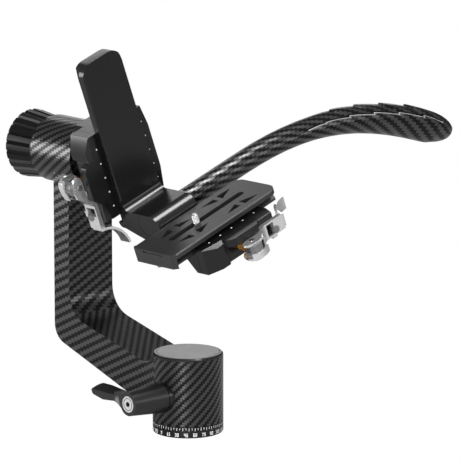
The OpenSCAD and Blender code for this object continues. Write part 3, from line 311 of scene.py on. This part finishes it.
def bevelled_copy(name, width, segments, mat=None, shape=None):
    """A copy of a CAD node with its sharp edges rounded, which stands for the node.

    width is in metres. shape, when given, changes the copy before its edges are rounded.
    """
    mesh = nodes[name].data.copy()
    bm = bmesh.new()
    bm.from_mesh(mesh)
    bmesh.ops.remove_doubles(bm, verts=bm.verts, dist=WELD)
    if shape:
        shape(bm)
    bmesh.ops.dissolve_limit(bm, angle_limit=math.radians(FLAT_WITHIN), verts=bm.verts,
                             edges=bm.edges)
    bm.to_mesh(mesh)
    bm.free()
    look = mat or SLOT_LOOK[SLOT_OF[name]]
    obj = add_piece(name + "_skin", mesh, look, BODY_OF[name], [name])
    edges = obj.modifiers.new("edges", "BEVEL")
    edges.width = width
    edges.segments = segments
    edges.limit_method = "ANGLE"
    edges.angle_limit = math.radians(SHARP_FROM)
    apply_modifier(obj, edges)
    smooth_by_angle(obj.data, SMOOTH_BELOW)
    flat = obj.modifiers.new("flat_faces", "WEIGHTED_NORMAL")
    flat.keep_sharp = True
    flat.weight = 90
    apply_modifier(obj, flat)
    return obj


for name, obj in nodes.items():
    look = KNOB_BLACK if name == "tilt_knob" else SLOT_LOOK[SLOT_OF[name]]
    if not obj.material_slots:
        obj.data.materials.append(look)
    for item in obj.material_slots:
        item.material = look

# ---------------------------------------------------------------- arm and its weave
HUB_R = 30.0
BARREL_R = 29.0
SKIN_OVER, SKIN_UNDER = 0.3, 2.0  # a face this near to a round skin counts as part of it
WIDE = 2.05  # the cloth's diagonals lie flat on the arm's flat sides
BARREL_WIDE = 1.5  # and less so on the barrel
HUB_SHIFT = 50.0  # where the stripes fall on the hub
# How much of a face's normal points along an axis: more is a round skin's flat end, a side, a top.
END_FACE, SIDE_FACE, TOP_FACE = 0.9, 0.7, 0.75


def on_cylinder(distances, radius):
    """Whether points at these distances from an axis all lie on that cylinder's skin."""
    return max(distances) < radius + SKIN_OVER and min(distances) > radius - SKIN_UNDER


def arm_weave(corners, normal):
    """Weave coordinates of a face's corners on the arm; both rise along the cloth's stripes."""
    from_pan = [math.hypot(c.x, c.y) for c in corners]
    from_tilt = [math.hypot(c.y, c.z - TILT_Z) for c in corners]
    if abs(normal.z) < END_FACE and on_cylinder(from_pan, HUB_R):
        return [(math.atan2(c.x, -c.y) * HUB_R + HUB_SHIFT, c.z) for c in corners]
    if abs(normal.x) < END_FACE and on_cylinder(from_tilt, BARREL_R):
        return [(c.x / BARREL_WIDE, math.atan2(c.z - TILT_Z, -c.y) * BARREL_R) for c in corners]
    if abs(normal.y) > SIDE_FACE:
        side = math.copysign(1 / WIDE, -normal.y)
        return [(c.x * side, c.z) for c in corners]
    if normal.z > TOP_FACE:
        return [(-c.x, c.y) for c in corners]
    return [(c.y / WIDE, c.z) for c in corners]


def weave_arm(mesh):
    """Gives each face corner of the arm its weave coordinates."""
    layer = mesh.uv_layers.get("weave") or mesh.uv_layers.new(name="weave")
    for poly in mesh.polygons:
        corners = [mesh.vertices[i].co * 1000 for i in poly.vertices]
        for loop_index, uv in zip(poly.loop_indices, arm_weave(corners, poly.normal)):
            layer.data[loop_index].uv = uv


weave_arm(bevelled_copy("gimbal_arm", 0.0018, 4).data)

# ---------------------------------------------------------------- handle
# A station is the distance from the tilt axis along the handle, before it falls.
HANDLE_X, HANDLE_DROP = 47.0, 45.5  # the handle's line, against X and below the tilt axis
ROOT, ROOT_R = 25.3, 10.0  # the skin starts against the bracket's collar
# Where the handle starts to fall, where it ends, and how far it has fallen FALL_SHORT before that.
BEND_FROM, REACH, FALL, FALL_SHORT, FALL_POWER = 87.0, 331.0, 86.0, 4.0, 2.3
# The grip's half width, its height and depth from the handle's line, and the swell of its back.
GRIP_SIDE, GRIP_TOP, GRIP_BELLY, GRIP_BACK = 13.6, 12.0, 16.2, 0.7
TIP, TIP_BLUNT, TIP_POWER = 30.0, 0.8, 2.4  # length of the rounded tip, and its curve
# Finger steps: the height, the pitch and the first one's station, half of a riser's length, and
# the rows of faces between two risers.
STEP_H, STEP_PITCH, STEP_FROM, STEP_RISER, STEP_ROWS = 1.5, 27.0, 173.4, 0.35, 9
STEP_SLANT, SLANT_TO = 15.0 / 73, 75.0  # mm along for each degree away from the top, up to this
# The rim's angle at the root and on the grip, its jump at a step, how far the skin below it
# stands proud, and the angle that the skin takes to get there.
RIM_ROOT, RIM_ANGLE, RIM_RISE, RIM_H, RIM_SLOPE = 14.0, 25.0, 5.0, 0.9, 5.0
HALF_TURN, TIP_ROWS = 44, 16  # faces above and below the rims, and rows that close the tip
WEAVE_R = 12.5  # the cloth is laid as if on a rod of this radius
HANDLE_SMOOTH = 28.0  # edges flatter than this are smooth, so that the rims and steps stay sharp

# Stations between which a form grows to its full size, or fades away.
SIDE_GROWS, TOP_GROWS, BELLY_GROWS, BACK_GROWS = (90, 270), (170, 300), (170, 320), (150, 240)
SLANT_GROWS, SLANT_FADES = (110, 172), (REACH - 48, REACH - 12)
STEPS_GROW, STEPS_FADE = (STEP_FROM - 2, STEP_FROM + 40), (REACH - 34, REACH - 20)
RIM_GROWS, RIM_FADES, RIM_SPREADS = (128, 190), (REACH - 26, REACH - 12), (135, 180)


def ease(x, a, b):
    """0 up to a, 1 from b on, and a smooth rise between them."""
    u = min(1.0, max(0.0, (x - a) / (b - a)))
    return u * u * (3 - 2 * u)


def swell(x, grows, fades):
    """Rises over the first pair of stations and falls over the second."""
    return ease(x, *grows) * (1 - ease(x, *fades))


def handle_fall_at(v):
    return FALL * (max(0.0, v - BEND_FROM) / (REACH - BEND_FROM - FALL_SHORT)) ** FALL_POWER


def tip_close(v):
    """How much of its full section the handle has at a station near its tip."""
    u = min(1.0, max(0.0, (v - REACH + TIP) / TIP))
    return math.sqrt(1 - TIP_BLUNT * u ** TIP_POWER)


def handle_point(s, angle, proud, phase):
    """A point of the handle's skin and its station.

    s is the station at the top of the same ring, and angle is from +X up. proud lifts the point,
    and phase is the finger step's there: 0 just after a step, 1 at the next, None where none is.
    """
    off = min(abs(angle - 90), SLANT_TO)
    v = s + STEP_SLANT * off * swell(s, SLANT_GROWS, SLANT_FADES)
    a = math.radians(angle)
    close = tip_close(v)
    half_a = (ROOT_R + (GRIP_SIDE - ROOT_R) * ease(v, *SIDE_GROWS)) * close + proud
    if math.sin(a) <= 0:
        up = (ROOT_R + (GRIP_BELLY - ROOT_R) * ease(v, *BELLY_GROWS)) * close + proud
    else:
        up = (ROOT_R + (GRIP_TOP - ROOT_R) * ease(v, *TOP_GROWS)) * close + proud
        up += GRIP_BACK * ease(v, *BACK_GROWS) * close
        if phase is not None:
            up += STEP_H * swell(s, STEPS_GROW, STEPS_FADE) * (1 - phase)
    slope = math.atan(handle_fall_at(v + 1) / 2 - handle_fall_at(v - 1) / 2)
    n = up * math.sin(a)
    x, along, up_by = half_a * math.cos(a), v + n * math.sin(slope), n * math.cos(slope)
    return cradle_point(x - HANDLE_X, along, -handle_fall_at(v) + up_by - HANDLE_DROP), v


def handle_stations():
    """Stations along the handle, each with the phase of the finger step there."""
    rows = [(ROOT, None), (30.0, None)] + [(40.0 + 6 * i, None) for i in range(22)]
    s = STEP_FROM
    while s < STEPS_FADE[0]:
        rows.append((s - STEP_RISER, 1.0))
        rows += [(s + STEP_RISER + (STEP_PITCH - 1) * q / STEP_ROWS, q / STEP_ROWS)
                 for q in range(STEP_ROWS)]
        s += STEP_PITCH
    last = rows[-1][0]
    rows += [(last + (REACH - last) * math.sin(math.pi / 2 * i / TIP_ROWS), 1.0)
             for i in range(1, TIP_ROWS + 1)]
    return rows


def rim_angle(s, phase):
    """Angle of the rim that parts the grip's ridge from its side; it jumps up at each step."""
    rim = RIM_ROOT + (RIM_ANGLE - RIM_ROOT) * ease(s, *RIM_SPREADS)
    rise = 0.5 if phase is None else 1 - phase
    return rim + RIM_RISE * rise * swell(s, RIM_GROWS, RIM_FADES)


def handle_mesh():
    """Rings of points from the root to the tip. Below its rims the skin stands a little proud."""
    verts, weave = [], []
    rows = handle_stations()
    for s, phase in rows:
        rim = rim_angle(s, phase)
        proud = RIM_H * swell(s, RIM_GROWS, RIM_FADES)
        turn = [(rim + (180 - 2 * rim) * i / HALF_TURN, 0.0) for i in range(HALF_TURN + 1)]
        below = 180 - rim + RIM_SLOPE
        span = 180 + 2 * (rim - RIM_SLOPE)
        turn += [(below + span * i / HALF_TURN, proud) for i in range(HALF_TURN + 1)]
        for angle, extra in turn:
            shape_angle = angle if angle <= 270 else angle - 360
            p, v = handle_point(s, shape_angle, extra, phase)
            verts.append(p)
            weave.append((-v / WIDE, math.radians(angle) * WEAVE_R))
    count = 2 * (HALF_TURN + 1)
    faces, uvs = [], []
    for r in range(len(rows) - 1):
        for k in range(count):
            j = (k + 1) % count
            quad = (r * count + k, (r + 1) * count + k, (r + 1) * count + j, r * count + j)
            faces.append(quad)
            wrap = 2 * math.pi * WEAVE_R if j == 0 else 0.0
            for q, index in enumerate(quad):
                uvs.append((weave[index][0], weave[index][1] + (wrap if q > 1 else 0.0)))
    start = tuple(range(count))
    end = tuple((len(rows) - 1) * count + k for k in reversed(range(count)))
    for cap in (start, end):
        faces.append(cap)
        uvs += [(verts[i].x * 1000, verts[i].z * 1000) for i in cap]
    return new_mesh("carbon_handle_skin", verts, faces, uvs)


handle = add_piece("carbon_handle_skin", handle_mesh(), CARBON, BODY_OF["carbon_handle"],
                   ["carbon_handle"])
face_outwards(handle.data)
smooth_by_angle(handle.data, HANDLE_SMOOTH)

RIBBON_FROM, RIBBON_TO = 150.0, REACH - 14
RIBBON_CLEAR = 0.06  # how far a ribbon stands off the skin


def rim_ribbon(name, mat, inner, outer):
    """Two thin strips along the rim. inner and outer are each (angle from the rim, how proud)."""
    verts, faces = [], []
    rows = [row for row in handle_stations() if RIBBON_FROM < row[0] < RIBBON_TO]
    for sign in (1, -1):
        first = len(verts)
        for s, phase in rows:
            shown = swell(s, RIM_GROWS, RIM_FADES)
            rim = rim_angle(s, phase)
            for shift, proud in (inner, outer):
                angle = rim + shift if sign > 0 else 180 - rim - shift
                verts.append(handle_point(s, angle, proud * shown + RIBBON_CLEAR, phase)[0])
        for r in range(len(rows) - 1):
            a = first + 2 * r
            faces.append((a, a + 1, a + 3, a + 2)[::sign])
    return add_piece(name, new_mesh(name, verts, faces), mat, BODY_OF["carbon_handle"])


# The light grey strip is a painted highlight on the rim's edge; the black one above it is painted
# shade under the ledge.
rim_ribbon("handle_rim", RIM_HIGHLIGHT, (-RIM_SLOPE - 1.2, RIM_H), (0.0, 0.12))
rim_ribbon("handle_rim_shade", PAINTED_SHADE, (0.0, 0.08), (6.5, 0.02))

# ---------------------------------------------------------------- edges of the other parts
for name in ("tilt_clamp_body", "plate_clamp_body", "tilt_flange", "pan_lock_lever", "base_ring"):
    bevelled_copy(name, 0.0004, 2)
for name in ("tilt_clamp_jaw", "plate_clamp_jaw"):
    bevelled_copy(name, 0.0004, 2, mat=ROOF_BLACK)

# Half the bracket's width, the top of its upright, and the radius of the two corners there.
BRACKET_HALF, BRACKET_TOP, BRACKET_ROUND = 22.6, 101.0, 12.5


def soften_bracket_top(bm):
    """Gives the bracket's two top corners their softer round."""
    origin = cradle_point(0, 0, 0)
    along_v = cradle_point(0, 1, 0) - origin
    along_w = cradle_point(0, 0, 1) - origin
    centre_v, centre_w = BRACKET_HALF - BRACKET_ROUND, BRACKET_TOP - BRACKET_ROUND
    cuts = [(cradle_point(0, sign * centre_v, 0), along_v) for sign in (-1, 1)]
    cuts.append((cradle_point(0, 0, centre_w), along_w))
    for at, across in cuts:
        bmesh.ops.bisect_plane(bm, geom=bm.verts[:] + bm.edges[:] + bm.faces[:], dist=1e-7,
                               plane_co=at, plane_no=across.normalized())
    for vert in bm.verts:
        v = (vert.co - origin).dot(along_v) / MM ** 2
        w = (vert.co - origin).dot(along_w) / MM ** 2
        dv, dw = abs(v) - centre_v, w - centre_w
        reach = math.hypot(dv, dw)
        if dv > 0 and dw > 0 and reach > BRACKET_ROUND:
            keep = BRACKET_ROUND / reach - 1
            vert.co += (along_v * math.copysign(dv, v) + along_w * dw) * keep


bevelled_copy("height_bracket", 0.0008, 3, shape=soften_bracket_top)
bevelled_copy("socket_cap", 0.0005, 2)
bevelled_copy("camera_plate", 0.0006, 2, mat=PLATE_BLACK)
for name in ("tilt_clamp_lever", "plate_clamp_lever"):
    bevelled_copy(name, 0.0005, 3)

# ---------------------------------------------------------------- marks
CLEAR = 0.03  # how far a mark stands off its face
# A dot's radius, its distance from the clamp's middle, and the row's pitch and shift.
DOT_R, DOT_SIDE, DOT_PITCH, DOT_SHIFT = 0.75, 26.6, 13.5, 1.6
# The scale ring's strokes: how many, their top, the two lengths and half their width.
RING_MARKS, MARK_TOP, MARK_LONG, MARK_SHORT, MARK_HALF = 72, 9.0, 2.6, 1.8, 0.2
# Its numbers: how many, their top, and the size of one cell of a digit.
RING_NUMBERS, NUMBER_TOP, CELL_W, CELL_H = 24, 4.4, 0.48, 0.6
# Strokes of each digit in a grid 3 cells wide and 5 high, as filled cells.
DIGITS = {
    "0": "111101101101111", "1": "010110010010111", "2": "111001111100111",
    "3": "111001111001111", "4": "101101111001001", "5": "111100111001111",
    "6": "111100111101111", "7": "111001010010010", "8": "111101111101111",
    "9": "111101111001111",
}


def flat_marks(name, outlines, body, mat=WHITE):
    """Flat marks, each a list of corners in metres, as one piece."""
    verts, faces = [], []
    for outline in outlines:
        faces.append(tuple(range(len(verts), len(verts) + len(outline))))
        verts += outline
    return add_piece(name, new_mesh(name, verts, faces), mat, body)


def jaw_dots(clamp_point, side):
    """Five round dots in a row on one side of a clamp's marked face."""
    dots = []
    for i in range(-2, 3):
        dots.append([clamp_point(side * DOT_SIDE + DOT_R * math.cos(a * math.pi / 6),
                                 i * DOT_PITCH + DOT_SHIFT + DOT_R * math.sin(a * math.pi / 6),
                                 CLEAR)
                     for a in range(12)])
    return dots


for clamp, clamp_point in (("tilt", tilt_clamp_point), ("plate", plate_clamp_point)):
    flat_marks(clamp + "_body_dots", jaw_dots(clamp_point, -1), BODY_OF[clamp + "_clamp_body"])
    flat_marks(clamp + "_jaw_dots", jaw_dots(clamp_point, 1), BODY_OF[clamp + "_clamp_jaw"])


def ring_patch(x0, x1, z0, z1):
    """A small patch on the scale ring; x is the distance round it."""
    r = HUB_R + CLEAR
    return [Vector((r * math.sin(x / r), -r * math.cos(x / r), z)) * MM
            for x, z in ((x0, z0), (x1, z0), (x1, z1), (x0, z1))]


def scale_marks():
    """The ring's strokes, every second one longer, and its degrees."""
    patches = []
    around = 2 * math.pi * HUB_R
    for i in range(RING_MARKS):
        at = around * i / RING_MARKS
        length = MARK_LONG if i % 2 == 0 else MARK_SHORT
        patches.append(ring_patch(at - MARK_HALF, at + MARK_HALF, MARK_TOP - length, MARK_TOP))
    for i in range(RING_NUMBERS):
        text = str(i * 360 // RING_NUMBERS)
        width = len(text) * 4 * CELL_W - CELL_W
        left = around * i / RING_NUMBERS - width / 2
        for k, digit in enumerate(text):
            for cell, filled in enumerate(DIGITS[digit]):
                if filled == "1":
                    x = left + (k * 4 + cell % 3) * CELL_W
                    z = NUMBER_TOP - (cell // 3) * CELL_H
                    patches.append(ring_patch(x, x + CELL_W, z - CELL_H, z))
    return patches


flat_marks("scale_marks", scale_marks(), BODY_OF["base_ring"])

# The lock screw's face; a black hexagon and ring on it are painted shade of its socket and groove.
LOCK_FACE_Y, LOCK_Z = -67.3 - CLEAR, 33.5
SOCKET_R, GROOVE_IN, GROOVE_OUT = 2.4, 4.9, 5.4


def face_ring(inner, outer, count):
    """A flat ring on the lock screw's face in count pieces; with inner 0 it is a disc."""
    def at(r, k):
        a = 2 * math.pi * k / count
        return Vector((r * math.cos(a), LOCK_FACE_Y, LOCK_Z + r * math.sin(a))) * MM

    pieces = []
    for k in range(count):
        inside = [at(inner, k + 1), at(inner, k)] if inner else [at(0, k)]
        pieces.append([at(outer, k), at(outer, k + 1)] + inside)
    return pieces


# painted shade: a black hexagon for the six-sided socket and a black ring for the groove round it
flat_marks("lock_screw_socket_shade", face_ring(0, SOCKET_R, 6) + face_ring(GROOVE_IN, GROOVE_OUT, 36),
           BODY_OF["pan_lock_screw"], PAINTED_SHADE)

# ---------------------------------------------------------------- camera screw
SCREW_V, SCREW_R, SCREW_TOP = -12.0, 3.175, 15.9  # a 1/4 inch screw, where it is at rest
HEAD_R, HEAD_LOW, HEAD_HIGH = 7.6, -5.6, -2.8
THREAD_FROM, THREAD_PITCH, THREAD_DEPTH = 8.3, 1.27, 0.6
THREAD_SHORT, END_H, END_IN = 0.5, 0.4, 1.0  # the thread stops short of the chamfered end
THREAD_ROWS, SCREW_AROUND = 8, 36  # rows of faces for each turn of the thread, and faces in a row


def threaded_screw():
    """The camera screw: its head and shank turned, its end with a real helix."""
    core = SCREW_R - THREAD_DEPTH
    turned = [(HEAD_R, HEAD_LOW), (HEAD_R, HEAD_HIGH), (core, HEAD_HIGH), (core, THREAD_FROM)]
    rows = [[point] * SCREW_AROUND for point in turned]
    z = THREAD_FROM
    while z < SCREW_TOP - THREAD_SHORT:
        turns = [z / THREAD_PITCH - k / SCREW_AROUND for k in range(SCREW_AROUND)]
        rows.append([(SCREW_R - THREAD_DEPTH * abs(2 * (t % 1.0) - 1), z) for t in turns])
        z += THREAD_PITCH / THREAD_ROWS
    rows.append([(core, SCREW_TOP - END_H)] * SCREW_AROUND)
    rows.append([(SCREW_R - END_IN, SCREW_TOP)] * SCREW_AROUND)
    verts = []
    for row in rows:
        for k, (r, z) in enumerate(row):
            a = 2 * math.pi * k / SCREW_AROUND
            verts.append(plate_clamp_point(r * math.cos(a), SCREW_V + r * math.sin(a), z))
    faces = []
    for low in range(0, (len(rows) - 1) * SCREW_AROUND, SCREW_AROUND):
        high = low + SCREW_AROUND
        for k in range(SCREW_AROUND):
            j = (k + 1) % SCREW_AROUND
            faces.append((low + k, low + j, high + j, high + k))
    faces.append(tuple(reversed(range(SCREW_AROUND))))
    faces.append(tuple((len(rows) - 1) * SCREW_AROUND + k for k in range(SCREW_AROUND)))
    return new_mesh("camera_screw_skin", verts, faces)


screw = add_piece("camera_screw_skin", threaded_screw(), CHROME, BODY_OF["camera_screw"],
                  ["camera_screw"])
smooth_by_angle(screw.data, 50)


# ---------------------------------------------------------------- stage
def white(tree, kind):
    """A white glow of strength 1."""
    n = node(tree, kind)
    n.inputs["Color"].default_value = (1, 1, 1, 1)
    n.inputs["Strength"].default_value = 1.0
    return n


def camera_sees(tree, seen, otherwise, out):
    """The camera sees one shader straight on; light and reflections get the other."""
    path = node(tree, "ShaderNodeLightPath")
    mix = node(tree, "ShaderNodeMixShader")
    tree.links.new(path.outputs["Is Camera Ray"], mix.inputs[0])
    tree.links.new(otherwise.outputs[0], mix.inputs[1])
    tree.links.new(seen.outputs[0], mix.inputs[2])
    tree.links.new(mix.outputs[0], out.inputs["Surface"])


FLOOR = 6  # metres from the pan axis to each side of the floor
floor_mesh = bpy.data.meshes.new("floor")
floor_mesh.from_pydata([(-FLOOR, -FLOOR, 0), (FLOOR, -FLOOR, 0), (FLOOR, FLOOR, 0),
                        (-FLOOR, FLOOR, 0)], [], [(0, 1, 2, 3)])
floor = bpy.data.objects.new("floor", floor_mesh)
bpy.context.collection.objects.link(floor)
floor_mat, floor_tree, floor_shader = new_material("floor")
floor_shader.inputs["Base Color"].default_value = (0.5, 0.5, 0.5, 1)
floor_shader.inputs["Roughness"].default_value = 0.9
camera_sees(floor_tree, white(floor_tree, "ShaderNodeEmission"), floor_shader,
            floor_tree.nodes["Material Output"])
floor.data.materials.append(floor_mat)

# The room is brighter on the viewer's side than behind the head.
TO_VIEWER = (0.726, -0.658, 0.198)
ROOM_DARK, ROOM_BRIGHT = 0.04, 0.7
world = bpy.data.worlds.new("studio")
scene.world = world
world.use_nodes = True
room = world.node_tree
room.nodes.clear()
around = node(room, "ShaderNodeTexCoord")
side = node(room, "ShaderNodeVectorMath", operation="DOT_PRODUCT")
side.inputs[1].default_value = TO_VIEWER
room.links.new(around.outputs["Generated"], side.inputs[0])
level = node(room, "ShaderNodeMapRange")
level.inputs["From Min"].default_value = -1.0
level.inputs["To Min"].default_value = ROOM_DARK
level.inputs["To Max"].default_value = ROOM_BRIGHT
room.links.new(side.outputs["Value"], level.inputs["Value"])
glow = white(room, "ShaderNodeBackground")
room.links.new(level.outputs["Result"], glow.inputs["Strength"])
camera_sees(room, white(room, "ShaderNodeBackground"), glow, node(room, "ShaderNodeOutputWorld"))

LIT_AT = (-0.03, 0.06, 0.17)  # metres; the point that every lamp faces


def softbox(name, toward, distance, size, radiance):
    """A rectangular lamp in the direction toward from LIT_AT. distance and size are in metres."""
    data = bpy.data.lights.new(name, "AREA")
    data.shape = "RECTANGLE"
    data.size, data.size_y = size
    data.energy = radiance * math.pi * size[0] * size[1]
    obj = bpy.data.objects.new(name, data)
    bpy.context.collection.objects.link(obj)
    direction = Vector(toward).normalized()
    obj.location = Vector(LIT_AT) + direction * distance
    obj.rotation_euler = direction.to_track_quat("Z", "Y").to_euler()


softbox("front", (0.53, -0.83, 0.05), 1.5, (0.25, 0.46), 32.0)
softbox("left", (-0.727, -0.658, 0.09), 1.5, (0.4, 0.55), 7.5)
softbox("above", (0.19, 0.15, 0.97), 1.3, (0.4, 0.5), 18.0)
softbox("right", (0.80, 0.57, 0.22), 1.5, (0.6, 0.3), 3.0)
softbox("behind", (-0.727, 0.658, 0.20), 1.6, (0.9, 0.3), 1.5)
softbox("crest", (-0.76, 0.36, 0.54), 1.5, (0.3, 0.3), 2.0)

# ---------------------------------------------------------------- camera
CAMERA_AT = (2.34585, -2.07533, 0.80596)  # metres
AZIMUTH, PITCH = math.radians(47.85), math.radians(11.42)
FOCAL_PX, PHOTO_PX, SENSOR = 3800, 460, 36  # focal length and width in pixels, sensor's width

cam_data = bpy.data.cameras.new("camera")
cam = bpy.data.objects.new("camera", cam_data)
bpy.context.collection.objects.link(cam)
cam.location = CAMERA_AT
view_back = Vector((math.sin(AZIMUTH) * math.cos(PITCH), -math.cos(AZIMUTH) * math.cos(PITCH),
                    math.sin(PITCH)))
cam.rotation_euler = view_back.to_track_quat("Z", "Y").to_euler()
cam_data.sensor_width = SENSOR
cam_data.lens = FOCAL_PX * SENSOR / PHOTO_PX
cam_data.clip_start = 0.1
cam_data.clip_end = 50
scene.camera = cam

scene.view_settings.view_transform = "Standard"
scene.view_settings.look = "None"
scene.view_settings.exposure = 0
scene.view_settings.gamma = 1
